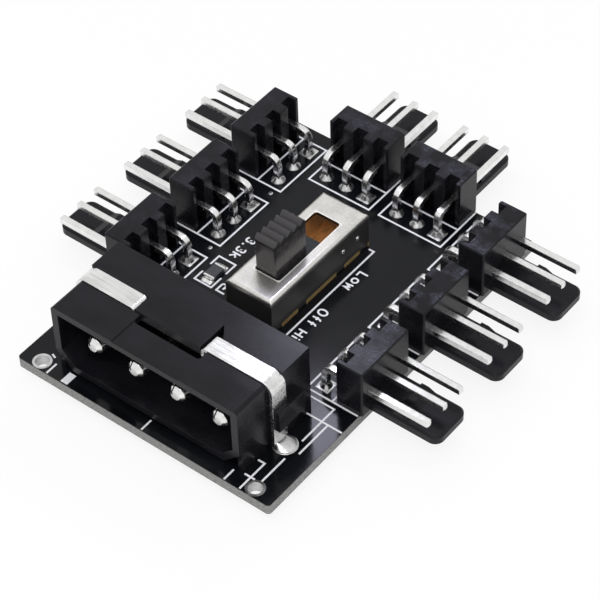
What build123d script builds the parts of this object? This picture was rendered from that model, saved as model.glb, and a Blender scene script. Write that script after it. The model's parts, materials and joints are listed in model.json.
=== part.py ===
from build123d import *
import math
import os

# Millimetres. X runs along the front edge, Y from front to back, Z up.
# The origin is midway between the two front holes, on the board's underside.

# Circuit board
board_w = 31.0
board_l = 42.5
board_t = 1.2
board_corner = 0.4
hole_r = 0.75
hole_edge = 1.0  # hole centre to front edge
hole_pitch = 26.3
lead_tail = 1.2  # length of every lead below the board
lead_play = 0.03  # between a lead and the plated, solder-filled hole around it

# Three-pin fan headers; sizes are from the board's edge and its upper face
pin_pitch = 2.54
pin_w = 0.64
pin_play = 0.02  # gap between a pin and the wall of its hole in the plastic
pin_z = 2.75
pin_reach = 7.3  # pin tips outside the board's edge
pin_row = 4.85  # lead holes inside the board's edge
pin_bend = 0.5  # inside radius of the bend
pin_tip = 0.18
header_len = 7.4
header_depth = 3.1
header_h = 5.7
header_front = 0.3  # front face outside the board's edge
header_edge = 0.14
slot_w = 1.33
slot_depth = 0.95
tab_w = 4.85
tab_shift = 0.165  # locking tab's middle, towards pin 1
tab_t = 0.95
tab_top = 1.1
tab_reach = 8.2
tab_corner = 1.0
tab_rim = 0.2  # bevel round the tab's upper edge
catch_start = 2.7  # locking catch on the tab, from the front face: a step, a level top, a ramp
catch_len = 1.7
catch_flat = 0.85
catch_h = 0.38
side_first = 17.4  # first side header's centre, from the front edge
side_pitch = 9.76
side_count = 3
back_pitch = 8.95
back_shift = 0.15

# Power inlet; Y sizes are from the front edge, Z sizes from the board's upper face
mid_x = -0.25  # middle of the inlet and of the switch
shroud_w = 22.5
shroud_y0 = 1.5
shroud_y1 = 5.75
shroud_z0 = 0.5
shroud_z1 = 8.35
shroud_wall = 0.8
shroud_cut = 2.0  # keyed lower corners
shroud_round = 0.45
body_w = 23.1
body_y1 = 11.7
body_z1 = 8.5
cavity_y1 = 9.9
foot_w = 0.6
foot_y0 = 1.9
foot_z1 = 3.0
row_shift = 0.3  # middle of the pin row, window and panel, from the inlet's middle
window_w = 8.0  # slot through the shroud's top, at the body
window_l = 1.1
window_round = 0.4
panel_deep = 0.1  # shallow panel in front of the window
ledge_out = 0.9
ledge_y0 = 5.95
ledge_y1 = 9.75
ledge_z0 = 2.5
ledge_z1 = 5.0
power_pitch = 5.08
power_count = 4
power_r = 1.05
power_z = 4.2
power_tip_y = 2.5
power_tip_r = 0.5
power_tip_len = 1.1
power_cheek_r = 0.9  # where the tip's steep cone meets the slender one
power_cheek_len = 0.4
power_tail_w = 1.15
power_tail_y = 13.4
power_bend = 0.8
power_play = 0.02

# Hold-down straps
strap_w = 2.0
strap_t = 0.35
strap_bend = 0.9
strap_play = 0.03
strap_lip = 1.0
strap_fold = 0.6
strap_end_left = 4.4  # inner ends, from the inlet's middle
strap_end_right = 3.5
strap_tongue = 1.2
strap_tongue_z = 0.5
pocket_w = 1.15  # three-cornered pocket behind the right strap's inner end
pocket_l = 1.5
pocket_deep = 1.2

# Slide switch
switch_y = 24.55
case_w = 5.65
case_l = 15.5
case_h = 4.45
case_t = 0.4
case_round = 0.5
base_t = 0.55
clinch_at = (3.05, 6.9)  # clinch tabs each side of the middle, along Y
clinch_w = 1.3
clinch_z = 0.15
lug_w = 1.4
gate_w = 3.1
gate_l = 9.8
gate_round = 0.35
knob_w = 2.5
knob_shift = -0.2  # knob's middle, from the gate's middle
knob_end = 0.15
knob_len = 4.9
knob_top = 8.9
knob_ridges = 5
knob_ridge_h = 0.5
knob_edge = 0.12
slider_w = 4.4
slider_t = 0.8
slider_gap = 0.12
slider_over = 1.9  # slider plate beyond the knob at each end
leaf_w = 1.4
leaf_l = 5.0
leaf_t = 0.2
leaf_gap = 0.1
blade_w = 0.8
blade_t = 0.4
blade_count = 4
head_w = 1.6
head_l = 1.3
head_t = 0.15

# Chip resistor
chip_x = 8.2  # from the board's left edge
chip_y = 19.98
chip_l = 2.0
chip_w = 1.25
chip_h = 0.5
chip_cap = 0.26

y_front = -hole_edge
y_back = y_front + board_l
underside = -lead_tail
travel = gate_l - knob_len - 2 * knob_end
blade_pitch = travel / 2


def block(x0, x1, y0, y1, z0, z1):
    """Box between two opposite corners."""
    size = Box(abs(x1 - x0), abs(y1 - y0), abs(z1 - z0))
    return Pos((x0 + x1) / 2, (y0 + y1) / 2, (z0 + z1) / 2) * size


def on_board(x0, x1, y0, y1, z0, z1):
    """Box with Y from the board's front edge and Z from its upper face."""
    return block(x0, x1, y0 + y_front, y1 + y_front, z0 + board_t, z1 + board_t)


def prism(points, x0, x1):
    """Outline of (Y, Z) points carried along X from x0 to x1."""
    face = make_face(Polyline(*[(x0, y, z) for y, z in points], close=True))
    return extrude(face, amount=x1 - x0, dir=(1, 0, 0))


def slab(points, y0, y1):
    """Outline of (X, Z) points carried along Y from y0 to y1."""
    face = make_face(Polyline(*[(x, y0, z) for x, z in points], close=True))
    return extrude(face, amount=y1 - y0, dir=(0, 1, 0))


def elbow(x_end, z_run, x_drop, z_end, thick, bend):
    """Face in the XZ plane of a strip that runs along X and turns down at x_drop."""
    turn = 1 if x_end > x_drop else -1
    half = thick / 2
    mid = math.sqrt(0.5)
    cx = x_drop + turn * (half + bend)
    cz = z_run - half - bend
    outer = bend + thick
    upper = ThreePointArc(
        (cx, 0, cz + outer),
        (cx - turn * mid * outer, 0, cz + mid * outer),
        (cx - turn * outer, 0, cz),
    )
    lower = ThreePointArc(
        (cx - turn * bend, 0, cz),
        (cx - turn * mid * bend, 0, cz + mid * bend),
        (cx, 0, cz + bend),
    )
    foot = [(x_drop - turn * half, 0, z_end), (x_drop + turn * half, 0, z_end)]
    return make_face(
        [
            Line((x_end, 0, z_run + half), upper @ 0),
            upper,
            Polyline(upper @ 1, *foot, lower @ 0),
            lower,
            Polyline(lower @ 1, (x_end, 0, z_run - half), (x_end, 0, z_run + half)),
        ]
    )


def header_seats():
    """Where each fan header sits: local X points out over the board's edge."""
    seats = {}
    for i in range(side_count):
        y = y_front + side_first + i * side_pitch
        seats[f"left_{i + 1}"] = Location((-board_w / 2, y, board_t), (0, 0, 180))
        seats[f"right_{i + 1}"] = Location((board_w / 2, y, board_t), (0, 0, 0))
    for i, side in enumerate((-1, 1)):
        x = back_shift + side * back_pitch / 2
        seats[f"back_{i + 1}"] = Location((x, y_back, board_t), (0, 0, 90))
    return seats


def pin_rows():
    """Pin places along a header, pin 1 first."""
    return [(i - 1) * pin_pitch for i in range(3)]


def fan_header():
    """Moulded block with slots for the bent leads and a locking tab below the pins."""
    rear = header_front - header_depth
    body = block(rear, header_front, -header_len / 2, header_len / 2, 0, header_h)
    edges = body.edges().filter_by(Axis.Z) + body.faces().sort_by(Axis.Z)[-1].edges()
    body = chamfer(edges, header_edge)
    hole = pin_w / 2 + pin_play
    for y in pin_rows():
        body -= block(rear, rear + slot_depth, y - slot_w / 2, y + slot_w / 2, 0, header_h)
        body -= block(rear, header_front, y - hole, y + hole, pin_z - hole, pin_z + hole)
    y0 = -tab_shift - tab_w / 2
    tab = block(header_front, tab_reach, y0, y0 + tab_w, tab_top - tab_t, tab_top)
    corners = tab.edges().filter_by(Axis.Z).group_by(Axis.X)[-1]
    tab = fillet(corners, tab_corner)
    rim = tab.faces().sort_by(Axis.Z)[-1].edges().sort_by(Axis.X)[1:]
    tab = chamfer(rim, tab_rim)
    x0 = header_front + catch_start
    x1 = x0 + catch_len
    top = tab_top + catch_h
    outline = [(x0, tab_top), (x0, top), (x0 + catch_flat, top), (x1, tab_top)]
    return body + tab + slab(outline, y0 + tab_rim, y0 + tab_w - tab_rim)


def fan_pin():
    """Square pin bent down into the board, its mating tip bevelled."""
    face = elbow(pin_reach, pin_z, -pin_row, -board_t - lead_tail, pin_w, pin_bend)
    pin = extrude(face, amount=pin_w / 2, both=True)
    return chamfer(pin.faces().sort_by(Axis.X)[-1].edges(), pin_tip)


def power_xs():
    """Inlet pin places along X."""
    first = mid_x + row_shift - power_pitch * (power_count - 1) / 2
    return [first + i * power_pitch for i in range(power_count)]


def power_pin(x):
    """Round pin with a bullet tip; a thinner square tail turns down behind the housing."""
    y0 = y_front + power_tip_y
    y1 = y_front + body_y1
    y2 = y_front + power_tail_y
    z = board_t + power_z
    profile = Polyline(
        (x, y0, z),
        (x, y0, z + power_tip_r),
        (x, y0 + power_cheek_len, z + power_cheek_r),
        (x, y0 + power_tip_len, z + power_r),
        (x, y1, z + power_r),
        (x, y1, z),
        close=True,
    )
    shank = revolve(make_face(profile), Axis((x, y0, z), (0, 1, 0)))
    face = elbow(y2 - y1 + power_r, z, 0, underside, power_tail_w, power_bend)
    tail = extrude(face, amount=power_tail_w / 2, both=True)
    return shank + Location((x, y2, 0), (0, 0, -90)) * tail


def strap_cut(side, end):
    """Space outside the strap's inner face, which the housing gives up."""
    x_in = mid_x + side * end
    x_side = mid_x + side * body_w / 2
    x_out = x_side + side * 2 * ledge_out
    z_run = board_t + body_z1 - strap_t
    rounded = block(x_in, x_side, -strap_w, strap_w, 0, z_run)
    corner = rounded.edges().filter_by(Axis.Y).group_by(Axis.Z)[-1]
    corner = corner.sort_by(Axis.X)[-1 if side > 0 else 0]
    rounded = fillet(corner, strap_bend)
    half = strap_w / 2 + strap_play
    over = block(x_in, x_out, -half, half, board_t, board_t + body_z1) - rounded
    y = y_front + shroud_y1 + strap_w / 2
    gap = block(x_side + side * (strap_t + strap_play), x_out, -half, half, board_t, board_t + ledge_z1)
    return Pos(0, y, 0) * (over - gap)


def strap(side, end):
    """Band over the inlet's shoulder: a lip inside, a leg outside and a tongue into the board."""
    x_in = mid_x + side * (end + strap_play)
    x_leg = mid_x + side * (body_w + strap_t) / 2
    z_run = board_t + body_z1 - strap_t / 2
    face = elbow(x_in, z_run, x_leg, board_t + strap_tongue_z, strap_t, strap_bend)
    band = extrude(face, amount=strap_w / 2, both=True)
    lip_x = x_in + side * strap_t
    band += block(x_in, lip_x, -strap_w / 2, strap_w / 2, z_run - strap_lip, z_run)
    fold = band.edges().filter_by(Axis.Y).group_by(Axis.Z)[-1].sort_by(Axis.X)[0 if side > 0 else -1]
    band = fillet(fold, strap_fold)
    tongue = strap_tongue / 2
    x0 = x_leg - strap_t / 2
    x1 = x_leg + strap_t / 2
    band += block(x0, x1, -tongue, tongue, underside, board_t + strap_tongue_z)
    return Pos(0, y_front + shroud_y1 + strap_w / 2, 0) * band


def shroud_outline(inset):
    """Keyed outline of the inlet's mouth, drawn in by inset."""
    half = shroud_w / 2 - inset
    cut = shroud_cut - inset * (2 - math.sqrt(2))
    z0 = board_t + shroud_z0 + inset
    z1 = board_t + shroud_z1 - inset
    side = [(-half, z1), (-half, z0 + cut), (-half + cut, z0)]
    return [(mid_x + x, z) for x, z in side] + [(mid_x - x, z) for x, z in reversed(side)]


def inlet_housing():
    """Keyed shroud, rear body, side ledges and feet in one moulding."""
    y0 = y_front + shroud_y0
    y1 = y_front + shroud_y1
    shroud = slab(shroud_outline(0), y0, y1)
    upper = shroud.edges().filter_by(Axis.Y).group_by(Axis.Z)[-1]
    shroud = fillet(upper, shroud_round)
    half = body_w / 2
    housing = shroud + on_board(mid_x - half, mid_x + half, shroud_y1, body_y1, 0, body_z1)
    for side in (-1, 1):
        edge = mid_x + side * half
        housing += on_board(edge, edge + side * ledge_out, ledge_y0, ledge_y1, ledge_z0, ledge_z1)
        foot = mid_x + side * shroud_w / 2
        housing += on_board(foot, foot - side * foot_w, foot_y0, shroud_y1, 0, foot_z1)
    housing -= slab(shroud_outline(shroud_wall), y0, y_front + cavity_y1)
    for side, end in ((-1, strap_end_left), (1, strap_end_right)):
        housing -= strap_cut(side, end)
        x0 = mid_x + side * end
        z0 = body_z1 - strap_t / 2 - strap_lip
        x1 = x0 + side * (strap_t + 2 * strap_play)
        housing -= on_board(x0, x1, shroud_y1, shroud_y1 + strap_w + strap_play, z0, body_z1)
    x0 = mid_x + strap_end_right
    back = y1 + strap_w
    z1 = board_t + body_z1
    pocket = Polyline((x0, back, z1), (x0 + pocket_w, back, z1), (x0, back + pocket_l, z1), close=True)
    housing -= extrude(make_face(pocket), amount=pocket_deep, dir=(0, 0, -1))
    x0 = mid_x + row_shift - window_w / 2
    front = shroud_y1 - window_l
    x1 = x0 + window_w
    housing -= on_board(x0, x1, shroud_y0, front + window_round, shroud_z1 - panel_deep, shroud_z1)
    slot = on_board(x0, x1, front, shroud_y1, shroud_z1 - shroud_wall, shroud_z1)
    slot = fillet(slot.edges().filter_by(Axis.Z).group_by(Axis.Y)[0], window_round)
    housing -= slot
    y_pin = y_front + (cavity_y1 + body_y1) / 2
    for x in power_xs():
        bore = Cylinder(power_r + power_play, 2 * (body_y1 - cavity_y1), rotation=(90, 0, 0))
        housing -= Pos(x, y_pin, board_t + power_z) * bore
    return housing


def switch_base():
    """Insulating plate under the switch, notched for the clinch tabs and pierced for the blades."""
    half = case_w / 2
    end = case_l / 2
    base = block(-half, half, -end, end, 0, base_t)
    for side in (-1, 1):
        for y in clinch_places():
            wide = clinch_w / 2
            base -= block(side * half, side * (half - case_t), y - wide, y + wide, 0, base_t)
        base -= block(-lug_w / 2, lug_w / 2, side * end, side * (end - case_t), 0, base_t)
    for y in blade_places():
        base -= block(-blade_w / 2, blade_w / 2, y - blade_t / 2, y + blade_t / 2, 0, base_t)
    return at_switch(base)


def at_switch(shape):
    """Moves a shape drawn about the switch's middle onto the board."""
    return Pos(mid_x, y_front + switch_y, board_t) * shape


def clinch_places():
    """Clinch tab places along Y, from the switch's middle."""
    return [sign * y for y in clinch_at for sign in (-1, 1)]


def blade_places():
    """Terminal places along Y, from the switch's middle."""
    return [(i - (blade_count - 1) / 2) * blade_pitch for i in range(blade_count)]


def switch_case():
    """Folded metal cover with the knob's gate, clinch tabs and two lugs into the board."""
    half = case_w / 2
    end = case_l / 2
    case = block(-half, half, -end, end, base_t, case_h)
    case = fillet(case.faces().sort_by(Axis.Z)[-1].edges(), case_round)
    case -= block(case_t - half, half - case_t, case_t - end, end - case_t, base_t, case_h - case_t)
    gate = block(-gate_w / 2, gate_w / 2, -gate_l / 2, gate_l / 2, base_t, case_h)
    case -= fillet(gate.edges().filter_by(Axis.Z), gate_round)
    for side in (-1, 1):
        for y in clinch_places():
            wide = clinch_w / 2
            case += block(side * half, side * (half - case_t), y - wide, y + wide, clinch_z, base_t)
        case += block(-lug_w / 2, lug_w / 2, side * end, side * (end - case_t), underside - board_t, base_t)
    return at_switch(case)


def knob_middle():
    """Knob's middle along Y at the near end of its travel."""
    return knob_len / 2 + knob_end - gate_l / 2


def switch_knob():
    """Ridged knob and the slider plate that keeps it under the cover."""
    left = knob_shift - knob_w / 2
    near = knob_middle() - knob_len / 2
    step = knob_len / knob_ridges
    plate_z = case_h - case_t - slider_gap
    low = plate_z - slider_t / 2
    outline = [(near, low)]
    for i in range(knob_ridges):
        outline.append((near + i * step, knob_top - knob_ridge_h))
        outline.append((near + (i + 0.5) * step, knob_top))
    outline.append((near + knob_len, knob_top - knob_ridge_h))
    outline.append((near + knob_len, low))
    knob = prism(outline, left, left + knob_w)
    knob = chamfer(knob.edges().filter_by(Axis.Z), knob_edge)
    reach = knob_len / 2 + slider_over
    y = knob_middle()
    plate = block(-slider_w / 2, slider_w / 2, y - reach, y + reach, plate_z - slider_t, plate_z)
    return at_switch(knob + plate)


def switch_contact():
    """Sprung U-shaped bridge under the slider plate that joins two blade heads."""
    y = knob_middle()
    low = base_t + head_t + leaf_gap
    high = case_h - case_t - slider_gap - slider_t
    end = leaf_l / 2
    outline = [(y - end, high), (y - end, low), (y + end, low), (y + end, high)]
    outline += [(y + end - leaf_t, high), (y + end - leaf_t, low + leaf_t)]
    outline += [(y - end + leaf_t, low + leaf_t), (y - end + leaf_t, high)]
    return at_switch(prism(outline, -leaf_w / 2, leaf_w / 2))


def switch_blade(y):
    """Terminal blade with a flat head on the base."""
    blade = block(-blade_w / 2, blade_w / 2, y - blade_t / 2, y + blade_t / 2, underside - board_t, base_t)
    blade += block(-head_w / 2, head_w / 2, y - head_l / 2, y + head_l / 2, base_t, base_t + head_t)
    return at_switch(blade)


def chip(y0, y1):
    """Slice of the chip resistor between two places along its length."""
    x = chip_x - board_w / 2
    return on_board(x - chip_w / 2, x + chip_w / 2, chip_y + y0, chip_y + y1, 0, chip_h)


def circuit_board():
    """Board with two round corner holes and, for every lead, the opening that its solder leaves."""
    board = block(-board_w / 2, board_w / 2, y_front, y_back, 0, board_t)
    board = fillet(board.edges().filter_by(Axis.Z), board_corner)
    for side in (-1, 1):
        board -= Pos(side * hole_pitch / 2, 0, board_t / 2) * Cylinder(hole_r, board_t)
    leads = []
    for seat in header_seats().values():
        for y in pin_rows():
            spot = (seat * Pos(-pin_row, y, 0)).position
            leads.append((spot.X, spot.Y, pin_w, pin_w))
    for x in power_xs():
        leads.append((x, y_front + power_tail_y, power_tail_w, power_tail_w))
    for side in (-1, 1):
        leg = mid_x + side * (body_w + strap_t) / 2
        leads.append((leg, y_front + shroud_y1 + strap_w / 2, strap_t, strap_tongue))
        lug = y_front + switch_y + side * (case_l - case_t) / 2
        leads.append((mid_x, lug, lug_w, case_t))
    for y in blade_places():
        leads.append((mid_x, y_front + switch_y + y, blade_w, blade_t))
    play = 2 * lead_play
    return board - [Pos(x, y, board_t / 2) * Box(w + play, l + play, board_t) for x, y, w, l in leads]


nodes = {
    "circuit_board": circuit_board(),
    "power_inlet_housing": inlet_housing(),
    "hold_down_strap_left": strap(-1, strap_end_left),
    "hold_down_strap_right": strap(1, strap_end_right),
    "switch_base": switch_base(),
    "switch_cover": switch_case(),
    "switch_knob": switch_knob(),
    "switch_contact": switch_contact(),
    "chip_resistor_body": chip(chip_cap - chip_l / 2, chip_l / 2 - chip_cap),
    "chip_end_cap_1": chip(-chip_l / 2, chip_cap - chip_l / 2),
    "chip_end_cap_2": chip(chip_l / 2 - chip_cap, chip_l / 2),
}
for i, x in enumerate(power_xs(), 1):
    nodes[f"power_pin_{i}"] = power_pin(x)
for i, y in enumerate(blade_places(), 1):
    nodes[f"switch_terminal_{i}"] = switch_blade(y)
header = fan_header()
pin = fan_pin()
for place, seat in header_seats().items():
    nodes[f"fan_header_{place}"] = seat * header
    for i, y in enumerate(pin_rows(), 1):
        nodes[f"fan_pin_{place}_{i}"] = seat * Pos(0, y, 0) * pin

os.makedirs("parts", exist_ok=True)
for name, shape in nodes.items():
    export_step(shape, f"parts/{name}.step")
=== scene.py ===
import json

import bpy
import numpy as np
from bpy.props import FloatProperty, FloatVectorProperty, PointerProperty
from bpy.types import Operator, Panel, PropertyGroup
from mathutils import Matrix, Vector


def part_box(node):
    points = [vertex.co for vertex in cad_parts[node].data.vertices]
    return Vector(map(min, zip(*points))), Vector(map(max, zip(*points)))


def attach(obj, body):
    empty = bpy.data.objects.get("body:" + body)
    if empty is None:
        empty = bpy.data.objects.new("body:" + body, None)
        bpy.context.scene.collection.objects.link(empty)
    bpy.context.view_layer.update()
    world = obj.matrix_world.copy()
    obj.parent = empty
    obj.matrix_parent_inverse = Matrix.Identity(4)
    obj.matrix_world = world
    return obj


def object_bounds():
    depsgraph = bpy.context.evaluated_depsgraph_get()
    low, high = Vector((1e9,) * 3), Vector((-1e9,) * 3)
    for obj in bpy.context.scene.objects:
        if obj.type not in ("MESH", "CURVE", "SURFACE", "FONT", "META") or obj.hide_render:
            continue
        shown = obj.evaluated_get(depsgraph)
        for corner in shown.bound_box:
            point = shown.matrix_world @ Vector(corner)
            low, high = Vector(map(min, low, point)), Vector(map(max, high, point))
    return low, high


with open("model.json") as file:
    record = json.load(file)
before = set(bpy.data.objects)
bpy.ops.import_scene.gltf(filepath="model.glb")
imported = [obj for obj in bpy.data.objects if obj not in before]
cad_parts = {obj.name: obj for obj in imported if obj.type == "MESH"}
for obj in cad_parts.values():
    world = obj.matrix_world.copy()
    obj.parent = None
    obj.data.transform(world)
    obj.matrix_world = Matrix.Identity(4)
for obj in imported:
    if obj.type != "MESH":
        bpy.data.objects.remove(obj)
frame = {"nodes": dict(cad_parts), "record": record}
cad_box = [[float(c) for c in corner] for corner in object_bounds()]

bl_info = {
    "name": "Fan hub dressing",
    "version": (1, 0, 0),
    "blender": (4, 5, 0),
    "location": "3D View > Sidebar > Fan hub",
    "description": "Solder, plating, print, finishes and studio for a small fan hub board",
    "category": "Object",
}

MM = 0.001
HUB = "hub"


def box(node):
    """Lowest and highest corner of a CAD node, as arrays."""
    low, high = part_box(node)
    return np.array(low, float), np.array(high, float)


def middle_of(node):
    """Middle of a CAD node's box."""
    return np.add(*box(node)) / 2


board_low, board_high = box("circuit_board")
board_middle = middle_of("circuit_board")
TOP = board_high[2]
UNDER = board_low[2]
FAN_PINS = sorted(name for name in frame["nodes"] if name.startswith("fan_pin_"))
HEADERS = sorted(name for name in frame["nodes"] if name.startswith("fan_header_"))
POWER_PINS = [f"power_pin_{i}" for i in range(1, 5)]
TERMINALS = [f"switch_terminal_{i}" for i in range(1, 5)]
POWER_PIN_RADIUS = 1.05 * MM

# Half sections of the leads where they go through the board
FAN_LEAD = np.array([0.32, 0.32]) * MM
POWER_LEAD = np.array([0.575, 0.575]) * MM
TERMINAL_LEAD = np.array([0.4, 0.2]) * MM
LUG_LEAD = np.array([0.7, 0.2]) * MM
STRAP_LEAD = np.array([0.175, 0.6]) * MM


def colour(name, about, default):
    """Colour property with its default."""
    return FloatVectorProperty(
        name=name, description=about, subtype="COLOR", size=3, min=0, max=1, default=default
    )


def length(name, about, mm):
    """Length property, given in millimetres and kept in metres."""
    return FloatProperty(name=name, description=about, unit="LENGTH", min=0, precision=5, default=mm * MM)


def angle(name, about, degrees):
    """Angle property, given in degrees and kept in radians."""
    return FloatProperty(name=name, description=about, subtype="ANGLE", default=np.radians(degrees))


def power(name, about, watts):
    """Power property of a lamp."""
    return FloatProperty(name=name, description=about, unit="POWER", min=0, default=watts)


class FANHUB_PG_finish(PropertyGroup):
    """Colours of the hub's surfaces."""

    mask: colour("Mask", "Solder mask on both faces of the board", (0.0042, 0.0046, 0.0060))
    laminate: colour("Laminate", "Bare glass laminate on the board's edge", (0.27, 0.27, 0.265))
    plastic: colour("Plastic", "Inlet and header mouldings", (0.0075, 0.0076, 0.0100))
    # Colour of the scuffs and of the painted sheen on the header tops
    scuff_and_sheen: colour("Scuff", "Scuffs on the header tops", (0.075, 0.074, 0.105))
    tin: colour("Tin", "Tinned pins and caps", (0.90, 0.90, 0.89))
    strap: colour("Strap", "Hold-down straps", (0.88, 0.88, 0.86))
    nickel: colour("Nickel", "Switch cover", (0.75, 0.735, 0.70))
    insulator: colour("Insulator", "Switch base", (0.86, 0.36, 0.11))
    knob: colour("Knob", "Ridged switch knob", (0.038, 0.035, 0.037))
    slider: colour("Slider", "Plate under the switch cover", (0.006, 0.008, 0.014))
    contact: colour("Contact", "Switch contact and terminals", (0.62, 0.57, 0.46))
    ceramic: colour("Ceramic", "Chip resistor's glaze", (0.040, 0.042, 0.048))
    solder: colour("Solder", "Solder joints and plated pads", (0.66, 0.66, 0.66))
    ink: colour("Ink", "Board print", (0.88, 0.88, 0.92))


class FANHUB_PG_solder(PropertyGroup):
    """Sizes of the solder joints and plating."""

    round_pad: length("Round pad", "Radius of a fan pin's round joint", 0.78)
    square_pad: length("Square pad", "Half width of the pad at pin 1", 0.80)
    climb: length("Climb", "How far solder climbs a fan pin", 0.5)
    under_pad: length("Lower pad", "Solder round a lead under the board", 0.5)
    under_climb: length("Lower climb", "How far solder covers a lead under the board", 0.95)
    strap_pad: length("Strap pad", "Radius of a strap's joint", 1.28)
    strap_offset: length("Strap offset", "Strap joint's middle, outwards from the leg", 0.62)
    ring: length("Ring", "Outer radius of a corner hole's plating", 0.98)
    plating: length("Plating", "Thickness of pads and barrels", 0.03)


class FANHUB_PG_print(PropertyGroup):
    """Sizes of the board print."""

    line: length("Line", "Width of a printed line", 0.2)
    stroke: length("Stroke", "Width of a letter's stroke", 0.2)
    bar: length("Bar", "Width of the bar at the inlet's first pin", 0.83)
    film: length("Film", "Thickness of the ink", 0.02)
    capital: length("Capital", "Height of a capital letter", 1.0)


class FANHUB_PG_stage(PropertyGroup):
    """Camera and light."""

    lens: FloatProperty(name="Lens", description="Focal length", subtype="DISTANCE_CAMERA", default=148.9)
    azimuth: angle("Azimuth", "Camera's turn to the right of the front", 39.65)
    elevation: angle("Elevation", "Camera's height over the horizon", 46.241)
    roll: angle("Roll", "Camera's lean", -2.185)
    distance: length("Distance", "Camera to target", 240.634)
    target: FloatVectorProperty(
        name="Target",
        description="Point that the camera looks at",
        subtype="TRANSLATION",
        unit="LENGTH",
        default=(0.002945, 0.019733, 0.0032),
    )
    sky: FloatProperty(name="Sky", description="Strength of the even light all round", min=0, default=0.84)
    key: power("Key", "Power of the soft light overhead", 0.65)
    glint: power("Glint", "Power of the small cool light", 0.0032)
    floor: colour("Floor", "Floor under the hub", (0.92, 0.92, 0.92))


GROUPS = {
    "fanhub_finish": FANHUB_PG_finish,
    "fanhub_solder": FANHUB_PG_solder,
    "fanhub_print": FANHUB_PG_print,
    "fanhub_stage": FANHUB_PG_stage,
}


class Finish:
    """Material whose patterns are read from Object coordinates and feed one Principled shader."""

    def __init__(self, name, base, rough, metal=0.0, shine=0.5):
        self.material = bpy.data.materials.new(name)
        self.material.use_nodes = True
        self.tree = self.material.node_tree
        self.shader = self.tree.nodes["Principled BSDF"]
        self.base = np.array(base)
        self.shader.inputs["Base Color"].default_value = (*base, 1)
        self.shader.inputs["Roughness"].default_value = rough
        self.shader.inputs["Metallic"].default_value = metal
        self.shader.inputs["Specular IOR Level"].default_value = shine
        self.place = self.add("ShaderNodeTexCoord").outputs["Object"]

    def add(self, kind, **inputs):
        """New node with some of its inputs set or linked."""
        node = self.tree.nodes.new(kind)
        for name, value in inputs.items():
            self.feed(node.inputs[name.replace("_", " ")], value)
        return node

    def feed(self, socket, value):
        """Links a socket into another, or sets its value."""
        if isinstance(value, bpy.types.NodeSocket):
            self.tree.links.new(value, socket)
        else:
            socket.default_value = value

    def axes(self):
        """X, Y and Z of the point."""
        return self.add("ShaderNodeSeparateXYZ", Vector=self.place).outputs

    def noise(self, size, stretch=(1, 1, 1), detail=3.0):
        """Noise from 0 to 1 with grains of that size in metres, drawn out by stretch along each axis."""
        scale = [1 / s for s in stretch]
        spot = self.add("ShaderNodeMapping", Vector=self.place, Scale=scale)
        node = self.add("ShaderNodeTexNoise", Vector=spot.outputs[0], Scale=1 / size, Detail=detail)
        return node.outputs["Fac"]

    def spread(self, value, low, high, start=0.3, end=0.7):
        """Value from start to end carried to low to high, and held there beyond the two ends."""
        node = self.add(
            "ShaderNodeMapRange", Value=value, From_Min=start, From_Max=end, To_Min=low, To_Max=high
        )
        return node.outputs["Result"]

    def compute(self, operation, a, b=0.0):
        """Arithmetic on two sockets or numbers."""
        node = self.tree.nodes.new("ShaderNodeMath")
        node.operation = operation
        self.feed(node.inputs[0], a)
        self.feed(node.inputs[1], b)
        return node.outputs[0]

    def away(self, value, middle):
        """How far a value lies from a middle, on either side."""
        return self.compute("ABSOLUTE", self.compute("SUBTRACT", value, middle))

    def beyond(self, plan, middle, half):
        """How far a point lies outside a rectangle, on the axis where it is most; negative inside."""
        past = [self.compute("SUBTRACT", self.away(v, m), h) for v, m, h in zip(plan, middle, half)]
        return self.compute("MAXIMUM", *past)

    def mix(self, share, low, high):
        """Colour between two colours or colour sockets, which are the Mix node's inputs 6 and 7."""
        node = self.tree.nodes.new("ShaderNodeMix")
        node.data_type = "RGBA"
        self.feed(node.inputs[0], share)
        for socket, value in ((node.inputs[6], low), (node.inputs[7], high)):
            self.feed(socket, value if isinstance(value, bpy.types.NodeSocket) else (*value, 1))
        return node.outputs[2]

    def mottle(self, share, dark, light):
        """Base colour that wanders between dark and light times itself."""
        low = np.clip(self.base * dark, 0, 1)
        high = np.clip(self.base * light, 0, 1)
        return self.mix(self.spread(share, 0, 1), low, high)

    def give(self, name, value):
        """Feeds one of the shader's sockets."""
        self.feed(self.shader.inputs[name], value)

    def relief(self, height, depth, edge=0.0):
        """Bump of that depth in metres, on edges softened by edge metres."""
        bump = self.add("ShaderNodeBump", Height=height, Distance=depth, Strength=1.0)
        if edge:
            soft = self.add("ShaderNodeBevel", Radius=edge)
            soft.samples = 4
            self.feed(bump.inputs["Normal"], soft.outputs["Normal"])
        self.give("Normal", bump.outputs["Normal"])


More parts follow.
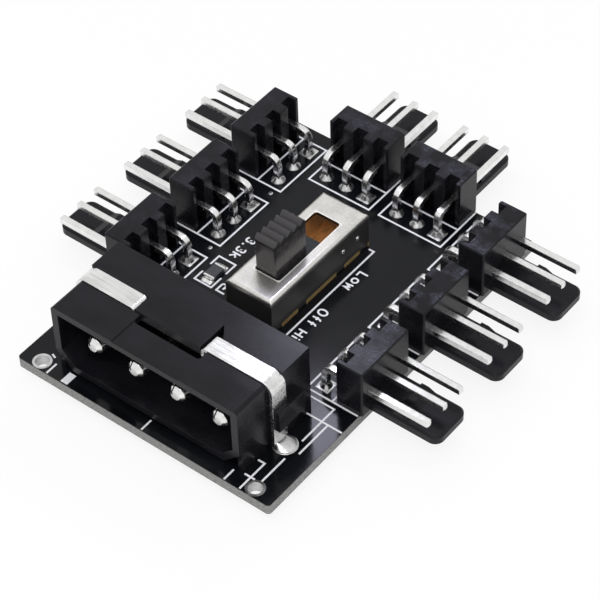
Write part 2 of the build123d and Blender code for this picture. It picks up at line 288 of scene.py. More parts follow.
def mask_finish(look):
    """Semi-gloss mask on the faces; bare laminate with flat glass fibres on the board's rounded rim."""
    coat = Finish("board_mask", look.mask, 0.16, shine=0.22)
    skin = 0.02 * MM
    corner = 0.4 * MM
    foil = 0.05 * MM
    x, y, z = coat.axes()
    half = (board_high - board_low) / 2
    over = []
    for axis, value in enumerate((x, y)):
        past = coat.compute("SUBTRACT", coat.away(value, board_middle[axis]), half[axis] - corner)
        past = coat.compute("MAXIMUM", past, 0.0)
        over.append(coat.compute("MULTIPLY", past, past))
    rim = coat.compute("GREATER_THAN", coat.compute("ADD", *over), (corner - skin) ** 2)
    inner = coat.compute("LESS_THAN", coat.away(z, board_middle[2]), half[2] - foil)
    glass = np.array(look.laminate)
    fibre = coat.spread(coat.noise(0.2 * MM, stretch=(1.6, 1.6, 0.6)), 0, 1)
    layers = coat.mix(fibre, glass * 0.6, np.clip(glass * 1.25, 0, 1))
    laminate = coat.mix(inner, glass * 0.2, layers)
    cloud = coat.noise(5 * MM)
    coat.give("Base Color", coat.mix(rim, coat.mottle(cloud, 0.7, 1.5), laminate))
    gloss = coat.spread(cloud, 0.12, 0.2)
    coat.give("Roughness", coat.compute("MAXIMUM", gloss, coat.compute("MULTIPLY", rim, 0.7)))
    orange_peel = coat.noise(0.5 * MM, detail=1)
    coat.relief(orange_peel, 0.004 * MM)
    return coat.material


def plastic_finish(look):
    """Moulded black with a fine satin grain and flow clouds. The header tops have pale bluish patches,
    partly scuffs and partly painted sheen of the cool light, most of them on the right."""
    coat = Finish("black_plastic", look.plastic, 0.26, shine=0.2)
    skin = 0.02 * MM
    grain = coat.noise(0.06 * MM)
    cloud = coat.noise(2.2 * MM, stretch=(2, 1, 1))
    x, _, z = coat.axes()
    header_top = box(HEADERS[0])[1][2]
    level = coat.compute("LESS_THAN", coat.away(z, header_top), skin)
    # Painted sheen: the pale patches grow towards the right, where the cool light falls
    rightward = coat.spread(x, 0.2, 1, start=board_low[0], end=board_high[0])
    scuff_and_sheen_weight = coat.compute("MULTIPLY", level, rightward)
    patch = coat.spread(coat.noise(2.0 * MM, detail=2), 0, 1, start=0.42, end=0.64)
    streak = coat.spread(coat.noise(0.3 * MM, detail=6), 0.15, 1, start=0.38, end=0.66)
    scuff_and_sheen = coat.compute("MULTIPLY", scuff_and_sheen_weight, coat.compute("MULTIPLY", patch, streak))
    coat.give("Base Color", coat.mix(scuff_and_sheen, coat.mottle(cloud, 0.75, 1.35), look.scuff_and_sheen))
    satin = coat.spread(cloud, 0.22, 0.32)
    coat.give("Roughness", coat.compute("MAXIMUM", satin, coat.compute("MULTIPLY", scuff_and_sheen, 0.5)))
    coat.relief(grain, 0.003 * MM, edge=0.08 * MM)
    return coat.material


def tin_finish(look, name="tin_pin"):
    """Bright tin plate with slow smears."""
    coat = Finish(name, look.tin, 0.2, metal=1.0)
    smear = coat.noise(0.7 * MM)
    coat.give("Base Color", coat.mottle(smear, 0.92, 1.06))
    coat.give("Roughness", coat.spread(coat.noise(0.3 * MM), 0.14, 0.26))
    coat.relief(smear, 0.002 * MM, edge=0.16 * MM)
    return coat.material


def contact_finish(look):
    """Dull silvered brass with slow tarnish."""
    coat = Finish("contact_metal", look.contact, 0.4, metal=1.0)
    tarnish = coat.noise(0.4 * MM)
    coat.give("Base Color", coat.mottle(tarnish, 0.75, 1.1))
    coat.give("Roughness", coat.spread(tarnish, 0.32, 0.48))
    coat.relief(tarnish, 0.003 * MM)
    return coat.material


def rolled_finish(look):
    """Tinned sheet rolled into round pins, with a dark seam along the upper left of each."""
    coat = Finish("rolled_tin", look.tin, 0.2, metal=1.0)
    seam_left = 0.35 * MM
    seam_half = 0.09 * MM
    first, second = [middle_of(pin)[0] for pin in POWER_PINS[:2]]
    pitch = second - first
    axis = box(POWER_PINS[0])[1][2] - POWER_PIN_RADIUS
    housing_back = box("power_inlet_housing")[1][1]
    x, y, z = coat.axes()
    turns = coat.compute("DIVIDE", coat.compute("SUBTRACT", x, first - pitch / 2), pitch)
    along = coat.compute("MULTIPLY", coat.compute("FRACT", turns), pitch)
    off = coat.compute("SUBTRACT", along, pitch / 2)
    before = coat.compute("LESS_THAN", y, housing_back)
    upper = coat.compute("MULTIPLY", coat.compute("GREATER_THAN", z, axis), before)
    line = coat.compute("LESS_THAN", coat.away(off, -seam_left), seam_half)
    seam = coat.compute("MULTIPLY", line, upper)
    smear = coat.noise(0.7 * MM)
    coat.give("Base Color", coat.mix(seam, coat.mottle(smear, 0.9, 1.06), coat.base * 0.03))
    coat.give("Roughness", coat.spread(smear, 0.16, 0.3))
    coat.relief(smear, 0.003 * MM, edge=0.1 * MM)
    return coat.material


def strap_finish(look):
    """Rolled strip, its lines along X."""
    coat = Finish("strap_metal", look.strap, 0.22, metal=1.0)
    line = coat.noise(0.16 * MM, stretch=(22, 1, 1))
    smear = coat.noise(1.1 * MM, stretch=(2, 1, 1))
    both = coat.compute("ADD", line, smear)
    coat.give("Base Color", coat.mottle(coat.compute("MULTIPLY", both, 0.5), 0.72, 1.18))
    coat.give("Roughness", coat.spread(line, 0.14, 0.3))
    coat.relief(both, 0.02 * MM, edge=0.08 * MM)
    return coat.material


def nickel_finish(look):
    """Satin nickel with slow clouds. Its sides are rougher and darker, painted shade that deepens towards
    the bottom, and the window in its top has a pale matt rim, a painted highlight, and dark cut edges."""
    coat = Finish("nickel_cover", look.nickel, 0.3, metal=1.0)
    window_half = np.array([1.55, 4.9]) * MM
    skin = 0.03 * MM
    highlight_reach = 0.13 * MM
    wall = 0.1 * MM
    dark_depth = 0.7 * MM
    light_depth = 0.1 * MM
    grain = coat.noise(0.18 * MM)
    cloud = coat.noise(1.3 * MM)
    both = coat.compute("ADD", cloud, grain)
    middle = middle_of("switch_cover")
    high = box("switch_cover")[1]
    x, y, z = coat.axes()
    # Painted shade: the cover's outer walls are darkened, most near their bottom
    outer = coat.compute("GREATER_THAN", coat.beyond((x, y), middle, high - middle), -wall)
    below = coat.spread(z, 1, 0, start=high[2] - dark_depth, end=high[2] - light_depth)
    side = coat.compute("MULTIPLY", outer, below)
    past_window = coat.beyond((x, y), middle, window_half)
    window = coat.compute("LESS_THAN", past_window, skin)
    cut = coat.compute("MULTIPLY", window, coat.compute("LESS_THAN", z, high[2] - skin))
    # Painted highlight: a paler, matt band on the top round the window
    highlight_band = coat.compute("LESS_THAN", past_window, highlight_reach)
    rim = coat.compute("MULTIPLY", highlight_band, coat.compute("SUBTRACT", 1.0, cut))
    face = coat.mottle(coat.compute("MULTIPLY", both, 0.5), 0.80, 1.16)
    face = coat.mix(rim, face, np.clip(coat.base * 1.15, 0, 1))
    # The sides and the cut edges share one dark colour; on the sides it is painted shade
    coat.give("Base Color", coat.mix(coat.compute("MAXIMUM", side, cut), face, coat.base * 0.22))
    satin = coat.spread(side, 0.3, 0.45, start=0, end=1)
    coat.give("Roughness", coat.compute("MAXIMUM", satin, coat.compute("MULTIPLY", rim, 0.7)))
    coat.relief(both, 0.0018 * MM, edge=0.1 * MM)
    return coat.material


def insulator_finish(look):
    """Brown paper laminate with fibres along Y. Its outer sides are darker and greyer, partly the laminate's
    cut edge and partly painted shade under the cover.
    """
    coat = Finish("brown_insulator", look.insulator, 0.45)
    skin = 0.02 * MM
    fibre = coat.noise(0.2 * MM, stretch=(1, 4, 1))
    low, high = box("switch_base")
    off = coat.away(coat.axes()["X"], (low[0] + high[0]) / 2)
    # Partly real cut edge, partly painted shade: the outer sides take a darker, greyer copy of the colour
    cut = coat.compute("GREATER_THAN", off, (high[0] - low[0]) / 2 - skin)
    edge = coat.base * (0.36, 0.60, 0.8)
    cut_edge_and_shade = coat.mix(fibre, edge * 0.5, edge * 1.4)
    coat.give("Base Color", coat.mix(cut, coat.mottle(fibre, 0.7, 1.2), cut_edge_and_shade))
    coat.give("Roughness", coat.spread(fibre, 0.35, 0.55))
    coat.relief(fibre, 0.004 * MM)
    return coat.material


def knob_finish(look):
    """Dark satin moulding with a painted highlight on the crests of its ridges and painted shade between
    them. The slider plate under the cover is a deep blue."""
    coat = Finish("dark_knob", look.knob, 0.2)
    plate_gap = 0.5 * MM
    ridge_depth = 0.85 * MM
    groove_depth = 0.8 * MM
    crest_depth = 0.1 * MM
    z = coat.axes()["Z"]
    cover_top = box("switch_cover")[1][2]
    knob_top = box("switch_knob")[1][2]
    cloud = coat.noise(0.8 * MM)
    # Painted light and shade: the ridges grow paler from the grooves up to the crests
    crest_light_and_shade = coat.spread(z, 0, 1, start=knob_top - groove_depth, end=knob_top - crest_depth)
    ridge_light_and_shade = coat.mix(crest_light_and_shade, coat.base * 0.45, coat.base * 1.25)
    ridged = coat.compute("GREATER_THAN", z, knob_top - ridge_depth)
    body = coat.mix(ridged, coat.mottle(cloud, 0.8, 1.25), ridge_light_and_shade)
    above = coat.compute("GREATER_THAN", z, cover_top - plate_gap)
    coat.give("Base Color", coat.mix(above, look.slider, body))
    coat.give("Roughness", coat.spread(cloud, 0.14, 0.24))
    coat.relief(coat.noise(0.3 * MM), 0.004 * MM, edge=0.08 * MM)
    return coat.material


def ceramic_finish(look):
    """Glazed chip body with a faint speckle."""
    coat = Finish("chip_ceramic", look.ceramic, 0.3)
    speckle = coat.noise(0.1 * MM)
    coat.give("Base Color", coat.mottle(speckle, 0.7, 1.6))
    coat.give("Roughness", coat.spread(speckle, 0.22, 0.4))
    coat.relief(speckle, 0.003 * MM, edge=0.05 * MM)
    return coat.material


def solder_finish(look):
    """Shiny solder with slow frozen ripples."""
    coat = Finish("solder", look.solder, 0.28, metal=1.0)
    ripple = coat.noise(0.6 * MM, detail=1)
    coat.give("Base Color", coat.mottle(ripple, 0.85, 1.1))
    coat.give("Roughness", coat.spread(ripple, 0.22, 0.36))
    coat.relief(ripple, 0.006 * MM)
    return coat.material


def ink_finish(look):
    """White ink, a little thin in places."""
    coat = Finish("white_print", look.ink, 0.55)
    thin = coat.noise(0.22 * MM)
    coat.give("Base Color", coat.mottle(thin, 0.88, 1.05))
    coat.give("Roughness", coat.spread(thin, 0.45, 0.65))
    return coat.material


def floor_finish(stage):
    """Pale floor. Rays from the camera see mostly plain white, rays from mirrors and glass see about half of
    it, and all others see the floor's own colour."""
    coat = Finish("studio_floor", stage.floor, 0.9, shine=0.2)
    white_share = 0.86
    mirrored_share = 0.5
    coat.give("Base Color", coat.mottle(coat.noise(0.08), 0.98, 1.02))
    path = coat.add("ShaderNodeLightPath").outputs
    mirrored = coat.compute("MAXIMUM", path["Is Glossy Ray"], path["Is Transmission Ray"])
    mirrored = coat.compute("MULTIPLY", mirrored, mirrored_share)
    seen = coat.compute("MAXIMUM", path["Is Camera Ray"], mirrored)
    white = coat.add("ShaderNodeEmission", Strength=1.0)
    blend = coat.add("ShaderNodeMixShader")
    coat.feed(blend.inputs[0], coat.compute("MULTIPLY", seen, white_share))
    coat.feed(blend.inputs[1], coat.shader.outputs[0])
    coat.feed(blend.inputs[2], white.outputs[0])
    coat.feed(coat.tree.nodes["Material Output"].inputs["Surface"], blend.outputs[0])
    return coat.material


def lathe(rings):
    """Closed solid through rings (m, n, 3), each of n points, with a middle point closing each end."""
    m, n = rings.shape[:2]
    points = np.concatenate([rings.reshape(-1, 3), rings[[0, -1]].mean(axis=1)])
    here = np.arange(m * n).reshape(m, n)
    beside = np.roll(here, -1, axis=1)
    sides = np.stack([here[:-1], beside[:-1], beside[1:], here[1:]], -1).reshape(-1, 4)
    first = np.stack([beside[0], here[0], np.full(n, m * n)], -1)
    last = np.stack([here[-1], beside[-1], np.full(n, m * n + 1)], -1)
    return points, [sides, first, last]


def hoop(rings):
    """Closed solid through rings (m, n, 3) whose last ring joins the first."""
    m, n = rings.shape[:2]
    here = np.arange(m * n).reshape(m, n)
    beside = np.roll(here, -1, axis=1)
    faces = np.stack([here, beside, np.roll(beside, -1, axis=0), np.roll(here, -1, axis=0)], -1)
    return rings.reshape(-1, 3), [faces.reshape(-1, 4)]


def mound(foot, reach, crown, neck, height, base, up=1, corner=2.0, rise=2.2, swell=0.0, skin=0.03 * MM):
    """Solder mound. At t from 0 to 1 its outline is a superellipse |x/a|^p + |y/b|^p = 1 with p = corner.
    The outline's middle goes from foot to crown, and its half sizes a and b go from reach to neck. Its
    height over the base is skin, a round shoulder swell * (1 - (1 - t)^2) and a climb
    (height - swell) * t^rise."""
    around = 40
    levels = 15
    turn = up * np.linspace(0, 2 * np.pi, around, endpoint=False)
    t = np.linspace(0, 1, levels)[:, None]
    wave = np.stack([np.cos(turn), np.sin(turn)], -1)
    wave /= (np.abs(wave) ** corner).sum(-1, keepdims=True) ** (1 / corner)
    middle = (1 - t) * np.array(foot) + t * np.array(crown)
    half = (1 - t) * (np.zeros(2) + reach) + t * (np.zeros(2) + neck)
    plan = middle[:, None] + half[:, None] * wave[None]
    z = base + up * (skin + swell * (1 - (1 - t) ** 2) + (height - swell) * t ** rise)
    rings = np.concatenate([plan, np.broadcast_to(z[:, None], plan.shape[:2] + (1,))], -1)
    root = rings[:1].copy()
    root[..., 2] = base - up * skin / 2
    return lathe(np.concatenate([root, rings]))


def barrel(spot, inner, outer, ring, low, high, plating):
    """Plated hole: a C-shaped profile, with a flange on each face, turned round the hole's axis."""
    around = 48
    profile = [
        (inner, high + plating), (inner, low - plating), (ring, low - plating), (ring, low),
        (outer, low), (outer, high), (ring, high), (ring, high + plating),
    ]
    r, z = np.array(profile).T
    turn = np.linspace(0, 2 * np.pi, around, endpoint=False)[:, None]
    rings = np.broadcast_arrays(spot[0] + r * np.cos(turn), spot[1] + r * np.sin(turn), z)
    return hoop(np.stack(rings, -1))


def ribbon(path, width, low, high):
    """Flat line of that width along a path (n, 2). Each corner's section is turned halfway and widened to a
    mitre."""
    path = np.array(path, float)
    steps = np.diff(path, axis=0)
    steps /= np.linalg.norm(steps, axis=1, keepdims=True)
    before = np.concatenate([steps[:1], steps])
    after = np.concatenate([steps, steps[-1:]])
    run = before + after
    run /= np.linalg.norm(run, axis=1, keepdims=True)
    side = np.stack([-run[:, 1], run[:, 0]], -1) * (width / 2 / (run * after).sum(-1))[:, None]
    edges = [(path + side, low), (path + side, high), (path - side, high), (path - side, low)]
    return lathe(np.stack([np.column_stack([p, np.full(len(p), z)]) for p, z in edges], axis=1))


def printed(paths, width, film):
    """Ribbons of ink on the board. Each is a small step higher than the last, in a cycle of four, so that
    lines that cross share no plane."""
    step = 0.1
    cycle = 4
    low = TOP - film / 2
    tops = TOP + film * (1 + step * (np.arange(len(paths)) % cycle))
    return [ribbon(path, width, low, high) for path, high in zip(paths, tops)]


def arc(cx, cy, rx, ry, start, end, count=11):
    """Points on an ellipse's arc, angles in degrees."""
    a = np.radians(np.linspace(start, end, count))
    return np.column_stack([cx + rx * np.cos(a), cy + ry * np.sin(a)])


def glyphs():
    """Stroke letters one unit high: each has its width and its strokes."""
    upper_bowl = arc(0.3, 0.76, 0.27, 0.24, 150, -85, 9)
    lower_bowl = arc(0.29, 0.27, 0.31, 0.27, 85, -150, 9)
    side_bowl = arc(0.9, 0.75, 0.2, 0.25, 90, -90, 9)
    hook = np.concatenate([[(0.19, 0)], arc(0.35, 0.84, 0.16, 0.16, 180, 80, 6)])
    return {
        "L": (0.58, [[(0, 1), (0, 0), (0.58, 0)]]),
        "o": (0.62, [arc(0.31, 0.34, 0.31, 0.34, 0, 360, 17)]),
        "w": (0.66, [[(0, 0.68), (0.1, 0), (0.33, 0.42), (0.56, 0), (0.66, 0.68)]]),
        "O": (0.74, [arc(0.37, 0.5, 0.37, 0.5, 0, 360, 21)]),
        "f": (0.42, [hook, [(0, 0.56), (0.42, 0.56)]]),
        "H": (0.68, [[(0, 0), (0, 1)], [(0.68, 0), (0.68, 1)], [(0, 0.5), (0.68, 0.5)]]),
        "i": (0.12, [[(0.06, 0), (0.06, 0.66)], [(0.06, 0.84), (0.06, 1)]]),
        "3": (0.6, [np.concatenate([upper_bowl, lower_bowl])]),
        ".": (0.22, [[(0.11, 0), (0.11, 0.22)]]),
        "k": (0.6, [[(0, 0), (0, 1)], [(0.54, 0.72), (0, 0.3)], [(0.2, 0.45), (0.6, 0)]]),
        "R": (
            1.1,
            [[(0, 0), (0, 1), (0.9, 1)], [(0.9, 0.5), (0.42, 0.5)], [(0.6, 0.5), (1.1, 0)], side_bowl],
        ),
    }


def on_board(points):
    """Points in millimetres from the board's front left corner, in metres."""
    return board_low[:2] + np.array(points, float) * MM


def word(text, middle, capital, way):
    """Strokes of a word round its middle in millimetres. It reads towards the front with letter tops to the
    right, or the other way round where way is -1."""
    letters = glyphs()
    gap = 0.38
    wide = sum(letters[c][0] for c in text) + gap * (len(text) - 1)
    start = -wide / 2
    strokes = []
    for c in text:
        for stroke in letters[c][1]:
            u, v = np.array(stroke, float).T
            strokes.append(on_board(middle) + way * capital * np.column_stack([v - 0.5, -(u + start)]))
        start += letters[c][0] + gap
    return strokes


def outlines():
    """Printed outlines in millimetres from the board's front left corner."""
    inlet = [(28.6, 8.0), (28.6, 12.9), (1.9, 12.9), (1.9, 8.0)]
    inlet_front = [[(27.5, 0.1), (27.5, 3.8), (26.73, 3.8)], [(26.78, 1.76), (27.97, 1.76)]]
    marks = [[(x, 0.1), (x, 1.55)] for x in (3.7, 15.65, 25.66)] + [[(2.52, 2.27), (3.07, 2.06)]]
    right = [[(26.7, 11.0), (30.95, 11.0)], [(29.33, 11.1), (29.33, 6.6)], [(28.62, 5.4), (28.62, 2.0)]]
    switch = [(19.05, 16.4), (19.05, 31.84), (18.41, 31.84)]
    chip = [
        [(7.0, 19.6), (7.0, 18.3), (9.13, 18.3), (9.13, 19.9)],
        [(7.0, 20.8), (7.0, 22.16), (9.13, 22.16), (9.13, 20.6)],
    ]
    return [inlet, *inlet_front, *marks, *right, switch, *chip]


def header_ways(node):
    """Directions out over the board's edge and along the header."""
    side = node.split("_")[2]
    if side == "back":
        return np.array([0.0, 1.0]), np.array([-1.0, 0.0])
    sign = 1.0 if side == "right" else -1.0
    return np.array([sign, 0.0]), np.array([0.0, sign])


def header_middle(node):
    """Middle of the header's second pin on the board, which the offset tab doesn't shift."""
    return middle_of(node.replace("header", "pin") + "_2")[:2]


def fan_lead(node):
    """Middle of the leg that goes into the board, at the inner end of the pin's box."""
    low, high = box(node)
    spot = middle_of(node)[:2]
    side = node.split("_")[2]
    if side == "back":
        spot[1] = low[1] + (high[0] - low[0]) / 2
    elif side == "left":
        spot[0] = high[0] - (high[1] - low[1]) / 2
    else:
        spot[0] = low[0] + (high[1] - low[1]) / 2
    return spot


def strap_leg(side):
    """Middle of a strap's leg on the board."""
    low, high = box(f"hold_down_strap_{side}")
    x = low[0] + STRAP_LEAD[0] if side == "left" else high[0] - STRAP_LEAD[0]
    return np.array([x, (low[1] + high[1]) / 2])


def leads_below():
    """Middle and half section of every lead that comes out under the board."""
    leads = [(fan_lead(name), FAN_LEAD) for name in FAN_PINS]
    for pin, terminal in zip(POWER_PINS, TERMINALS):
        tail = np.array([middle_of(pin)[0], box(pin)[1][1] - POWER_LEAD[1]])
        leads += [(tail, POWER_LEAD), (middle_of(terminal)[:2], TERMINAL_LEAD)]
    low, high = box("switch_cover")
    x = (low[0] + high[0]) / 2
    leads += [(np.array([x, y]), LUG_LEAD) for y in (low[1] + LUG_LEAD[1], high[1] - LUG_LEAD[1])]
    return leads + [(strap_leg(side), STRAP_LEAD) for side in ("left", "right")]


def add_piece(name, solids, finish, smooth=True):
    """One mesh of several closed solids, each given as points and blocks of faces, riding on the hub."""
    points, faces, count = [], [], 0
    for solid_points, blocks in solids:
        points.append(solid_points)
        for block in blocks:
            faces += (block + count).tolist()
        count += len(solid_points)
    mesh = bpy.data.meshes.new(name)
    mesh.from_pydata(np.concatenate(points).tolist(), [], faces)
    mesh.polygons.foreach_set("use_smooth", np.full(len(faces), smooth))
    mesh.materials.append(finish)
    mesh.validate()
    obj = bpy.data.objects.new(name, mesh)
    bpy.context.scene.collection.objects.link(obj)
    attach(obj, HUB)
    return obj


def dress(finish, *names):
    """Gives CAD nodes a finish."""
    for name in names:
        for place in frame["nodes"][name].material_slots:
            place.material = finish


def unit(vector):
    """Vector of length 1 in the same direction."""
    return vector / np.linalg.norm(vector)


def stand(axes, place):
    """Matrix that turns an object's own axes to the given ones and sets it at a place."""
    return Matrix(np.vstack([np.column_stack([*axes, place]), (0, 0, 0, 1)]).tolist())


class FANHUB_OT_board(Operator):
    """Mask the board and bare the laminate on its rim"""

    bl_idname = "fanhub.board"
    bl_label = "Board finish"

    def execute(self, context):
        dress(mask_finish(context.scene.fanhub_finish), "circuit_board")
        return {"FINISHED"}


class FANHUB_OT_mouldings(Operator):
    """Give the inlet housing and the fan headers their black satin"""

    bl_idname = "fanhub.mouldings"
    bl_label = "Black mouldings"

    def execute(self, context):
        dress(plastic_finish(context.scene.fanhub_finish), "power_inlet_housing", *HEADERS)
        return {"FINISHED"}


class FANHUB_OT_metalwork(Operator):
    """Tin the pins and roll lines along the straps"""

    bl_idname = "fanhub.metalwork"
    bl_label = "Pins and straps"

    def execute(self, context):
        look = context.scene.fanhub_finish
        dress(tin_finish(look), *FAN_PINS)
        dress(rolled_finish(look), *POWER_PINS)
        dress(strap_finish(look), "hold_down_strap_left", "hold_down_strap_right")
        return {"FINISHED"}


class FANHUB_OT_switch(Operator):
    """Finish the switch's cover, base, knob and contacts"""

    bl_idname = "fanhub.switch"
    bl_label = "Switch finish"

    def execute(self, context):
        look = context.scene.fanhub_finish
        dress(nickel_finish(look), "switch_cover")
        dress(insulator_finish(look), "switch_base")
        dress(knob_finish(look), "switch_knob")
        dress(contact_finish(look), "switch_contact", *TERMINALS)
        return {"FINISHED"}


class FANHUB_OT_chip(Operator):
    """Finish the chip resistor and solder its two ends"""

    bl_idname = "fanhub.chip"
    bl_label = "Chip resistor"

    def execute(self, context):
        look = context.scene.fanhub_finish
        dress(ceramic_finish(look), "chip_resistor_body")
        dress(tin_finish(look, "tin_cap"), "chip_end_cap_1", "chip_end_cap_2")
        pad_half = np.array([0.7, 0.42]) * MM
        neck = np.array([0.5, 0.06]) * MM
        outset = 0.12 * MM
        shoulder = 0.1 * MM
        climb_share = 0.6
        solids = []
        for name, way in (("chip_end_cap_1", -1), ("chip_end_cap_2", 1)):
            low, high = box(name)
            end = np.array([middle_of(name)[0], (low if way < 0 else high)[1]])
            pad = end + np.array([0, way * outset])
            climb = climb_share * (high[2] - low[2])
            solids.append(mound(pad, pad_half, end, neck, climb, TOP, corner=4, rise=7, swell=shoulder))
        add_piece("chip_solder", solids, tin_finish(look, "bright_solder"))
        return {"FINISHED"}


class FANHUB_OT_joints(Operator):
    """Solder every fan pin, with a square pad at pin 1 and round ones at the others"""

    bl_idname = "fanhub.joints"
    bl_label = "Fan pin joints"

    def execute(self, context):
        size = context.scene.fanhub_solder
        pad = size.square_pad
        pad_top = 0.95 * pad
        square_fill = 0.82 * pad
        neck = 0.36 * MM
        shoulder = 0.55 * size.climb
        solids = []
        for name in FAN_PINS:
            spot = fan_lead(name)
            rim = size.round_pad
            if name.endswith("_1"):
                solids.append(mound(spot, pad, spot, pad_top, size.plating, TOP, corner=14, rise=0.5))
                rim = square_fill
            solids.append(mound(spot, rim, spot, neck, size.climb, TOP, rise=2.4, swell=shoulder))
        add_piece("fan_pin_joints", solids, solder_finish(context.scene.fanhub_finish))
        return {"FINISHED"}


class FANHUB_OT_lower_joints(Operator):
    """Solder every lead on the board's underside"""

    bl_idname = "fanhub.lower_joints"
    bl_label = "Lower joints"

    def execute(self, context):
        size = context.scene.fanhub_solder
        climb = size.under_climb
        shoulder = 0.3 * MM
        neck_share = 1.2
        solids = []
        for spot, half in leads_below():
            pad = half + size.under_pad
            neck = neck_share * half
            solids.append(mound(spot, pad, spot, neck, climb, UNDER, up=-1, corner=2.5, swell=shoulder))
        add_piece("lower_joints", solids, solder_finish(context.scene.fanhub_finish))
        return {"FINISHED"}


class FANHUB_OT_strap_joints(Operator):
    """Solder both straps to their wide pads"""

    bl_idname = "fanhub.strap_joints"
    bl_label = "Strap joints"

    def execute(self, context):
        size = context.scene.fanhub_solder
        rim = size.strap_pad
        rim_top = 0.97 * rim
        fill = 0.9 * rim
        neck = np.array([0.3, 0.65]) * MM
        lean = 0.1 * MM
        climb = 0.5 * MM
        shoulder = 0.3 * MM
        solids = []
        for side, way in (("left", -1), ("right", 1)):
            leg = strap_leg(side)
            pad = leg + np.array([way * size.strap_offset, 0])
            top = leg + np.array([way * lean, 0])
            solids.append(mound(pad, rim, pad, rim_top, size.plating, TOP, rise=0.5))
            solids.append(mound(pad, fill, top, neck, climb, TOP, swell=shoulder))
        add_piece("strap_joints", solids, solder_finish(context.scene.fanhub_finish))
        return {"FINISHED"}


class FANHUB_OT_plating(Operator):
    """Plate the two corner holes and cap the small vias"""

    bl_idname = "fanhub.plating"
    bl_label = "Corner plating"

    def execute(self, context):
        look = context.scene.fanhub_finish
        size = context.scene.fanhub_solder
        film = size.plating
        dims = next(m for m in frame["record"]["mounts"] if m["name"] == "corner_holes")["dims"]
        hole = dims["hole_r_mm"] * MM
        half = dims["spacing_x_mm"] * MM / 2
        solids = [barrel((x, 0), hole - film, hole, size.ring, UNDER, TOP, film) for x in (-half, half)]
        via_radius = 0.24 * MM
        via_crown = 0.1 * MM
        via_height = 0.03 * MM
        from_edge = 5.5 * MM
        from_pin = 4.6 * MM
        for node in ("fan_header_left_2", "fan_header_left_3"):
            spot = np.array([board_low[0] + from_edge, header_middle(node)[1] - from_pin])
            solids.append(mound(spot, via_radius, spot, via_crown, via_height, TOP, rise=0.6))
        add_piece("corner_plating", solids, solder_finish(look), smooth=False)
        return {"FINISHED"}


class FANHUB_OT_dimples(Operator):
    """Press two small dimples out of the cover's right side"""

    bl_idname = "fanhub.dimples"
    bl_label = "Cover dimples"

    def execute(self, context):
        look = context.scene.fanhub_finish
        high = box("switch_cover")[1]
        z = TOP + 2.45 * MM
        reach = 0.27 * MM
        crown = 0.04 * MM
        height = 0.16 * MM
        skin = 0.01 * MM
        solids = []
        for from_end in (1.85 * MM, 4.2 * MM):
            # The mound's plan is Y and Z here, and its height is X
            spot = (high[1] - from_end, z)
            points, blocks = mound(spot, reach, spot, crown, height, high[0], rise=0.6, skin=skin)
            solids.append((points[:, [2, 0, 1]], blocks))
        # Painted highlight: the dimples take the paler tin colour instead of the cover's nickel
        add_piece("cover_dimples", solids, tin_finish(look, "bright_nickel"))
        return {"FINISHED"}


class FANHUB_OT_lines(Operator):
    """Print the header boxes and the outlines round the inlet, switch and chip"""

    bl_idname = "fanhub.lines"
    bl_label = "Printed lines"

    def execute(self, context):
        look = context.scene.fanhub_finish
        size = context.scene.fanhub_print
        deep = 6.17 * MM
        half = 3.85 * MM
        rear = 3.15 * MM
        first_pin_bar = [(5.87, 0.14), (5.87, 1.5)]
        paths = []
        for node in HEADERS:
            out, along = header_ways(node)
            side = along * half
            outer_edge = np.where(out > 0, board_high[:2], board_low[:2])
            edge = np.where(out != 0, outer_edge, header_middle(node))
            front = edge - out * size.line / 2
            inner = edge - out * deep
            across = edge - out * rear
            paths.append([front + side, inner + side, inner - side, front - side])
            paths.append([across + side, across - side])
        paths += [on_board(path) for path in outlines()]
        solids = printed(paths, size.line, size.film)
        solids += printed([on_board(first_pin_bar)], size.bar, size.film)
        add_piece("printed_lines", solids, ink_finish(look), smooth=False)
        return {"FINISHED"}


class FANHUB_OT_words(Operator):
    """Print the switch's positions and the resistor's value"""

    bl_idname = "fanhub.words"
    bl_label = "Printed words"

    def execute(self, context):
        look = context.scene.fanhub_finish
        size = context.scene.fanhub_print
        words = {
            "Hi": (20.03, 18.5, 1), "Off": (20.07, 21.38, 1), "Low": (20.11, 27.47, 1),
            "3.3k": (8.2, 24.45, 1), "R": (10.24, 18.9, -1),
        }
        solids = []
        for text, (x, y, way) in words.items():
            solids += printed(word(text, (x, y), size.capital, way), size.stroke, size.film)
        add_piece("printed_words", solids, ink_finish(look), smooth=False)
        return {"FINISHED"}


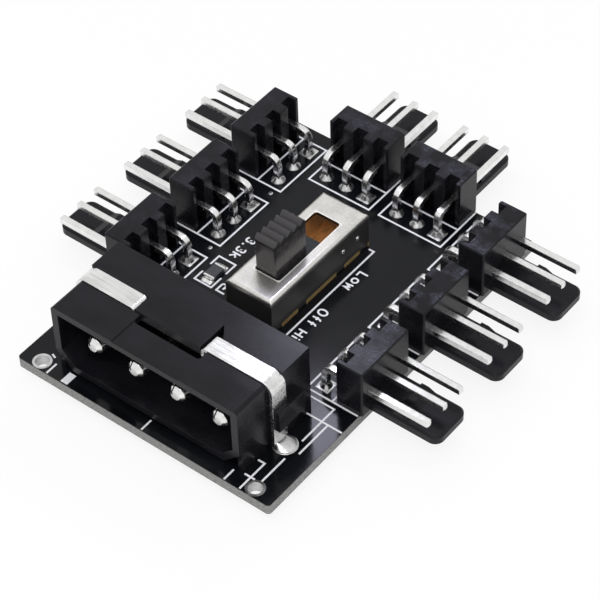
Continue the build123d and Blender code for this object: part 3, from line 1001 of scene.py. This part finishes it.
class FANHUB_OT_stage(Operator):
    """Set the floor, the soft light and the camera"""

    bl_idname = "fanhub.stage"
    bl_label = "Stage"

    def execute(self, context):
        stage = context.scene.fanhub_stage
        context.scene.view_settings.view_transform = "Standard"
        self.floor(context, stage)
        self.sky(context, stage)
        view = self.camera(context, stage)
        self.lights(context, stage, view)
        return {"FINISHED"}

    def floor(self, context, stage):
        """Flat square under the lowest leads."""
        reach = 3.0
        z = cad_box[0][2]
        corners = [(-reach, -reach, z), (reach, -reach, z), (reach, reach, z), (-reach, reach, z)]
        mesh = bpy.data.meshes.new("studio_floor")
        mesh.from_pydata(corners, [], [(0, 1, 2, 3)])
        mesh.materials.append(floor_finish(stage))
        obj = bpy.data.objects.new("studio_floor", mesh)
        context.scene.collection.objects.link(obj)

    def sky(self, context, stage):
        """Even light all round."""
        world = bpy.data.worlds.new("studio_sky")
        world.use_nodes = True
        light = world.node_tree.nodes["Background"]
        light.inputs["Color"].default_value = (1, 1, 1, 1)
        light.inputs["Strength"].default_value = stage.sky
        context.scene.world = world

    def camera(self, context, stage):
        """Camera on a sphere round the target, then leaned by roll; returns its place."""
        az, el, roll = stage.azimuth, stage.elevation, stage.roll
        back = np.array([np.sin(az) * np.cos(el), -np.cos(az) * np.cos(el), np.sin(el)])
        right = unit(np.cross(-back, (0, 0, 1)))
        up = np.cross(right, -back)
        axes = [np.cos(roll) * right + np.sin(roll) * up, np.cos(roll) * up - np.sin(roll) * right, back]
        place = np.array(stage.target) + stage.distance * back
        data = bpy.data.cameras.new("photo_camera")
        data.sensor_fit = "HORIZONTAL"
        data.sensor_width = 36
        data.lens = stage.lens
        data.clip_start = 0.01
        obj = bpy.data.objects.new("photo_camera", data)
        obj.matrix_world = stand(axes, place)
        context.scene.collection.objects.link(obj)
        context.scene.camera = obj
        return place

    def lights(self, context, stage, view):
        """Large soft light overhead, and a small cool one that the board mirrors to the camera."""
        key_size = 0.3
        key_place = board_middle + 0.5 * np.array([0.20, -0.38, 0.90])
        self.lamp(context, "key", stage.key, key_size, (1, 1, 1), key_place, board_middle)
        glint_size = 0.01
        glint_distance = 0.05
        spot = board_low + np.array([30.0, 9.5, 1.2]) * MM
        glint_place = spot + glint_distance * unit((spot - view) * (1, 1, -1))
        self.lamp(context, "glint", stage.glint, glint_size, (0.8, 0.8, 1), glint_place, spot)

    def lamp(self, context, name, watts, size, tint, place, target):
        """Square soft light at a place, facing a target."""
        data = bpy.data.lights.new(name, "AREA")
        data.energy = watts
        data.size = size
        data.color = tint
        back = unit(place - target)
        right = unit(np.cross((0, 1, 0), back))
        obj = bpy.data.objects.new(name, data)
        obj.matrix_world = stand([right, np.cross(back, right), back], place)
        obj.visible_camera = False
        context.scene.collection.objects.link(obj)


OPERATORS = [
    FANHUB_OT_board,
    FANHUB_OT_mouldings,
    FANHUB_OT_metalwork,
    FANHUB_OT_switch,
    FANHUB_OT_chip,
    FANHUB_OT_joints,
    FANHUB_OT_lower_joints,
    FANHUB_OT_strap_joints,
    FANHUB_OT_plating,
    FANHUB_OT_dimples,
    FANHUB_OT_lines,
    FANHUB_OT_words,
    FANHUB_OT_stage,
]


class FANHUB_PT_sidebar(Panel):
    """Settings and steps of the dressing"""

    bl_idname = "FANHUB_PT_sidebar"
    bl_label = "Fan hub"
    bl_space_type = "VIEW_3D"
    bl_region_type = "UI"
    bl_category = "Fan hub"

    def draw(self, context):
        for name, group in GROUPS.items():
            column = self.layout.column()
            for prop in group.__annotations__:
                column.prop(getattr(context.scene, name), prop)
        for step in OPERATORS:
            self.layout.operator(step.bl_idname)


def register():
    """Registers the classes and hangs the settings on the scene."""
    for cls in (*GROUPS.values(), *OPERATORS, FANHUB_PT_sidebar):
        bpy.utils.register_class(cls)
    for name, group in GROUPS.items():
        setattr(bpy.types.Scene, name, PointerProperty(type=group))


def unregister():
    """Takes the settings and classes away again."""
    for name in GROUPS:
        delattr(bpy.types.Scene, name)
    for cls in (FANHUB_PT_sidebar, *reversed(OPERATORS), *reversed(GROUPS.values())):
        bpy.utils.unregister_class(cls)


def main():
    """Runs every step in order."""
    register()
    for step in OPERATORS:
        getattr(bpy.ops.fanhub, step.bl_idname.split(".")[1])()


if __name__ == "__main__":
    main()
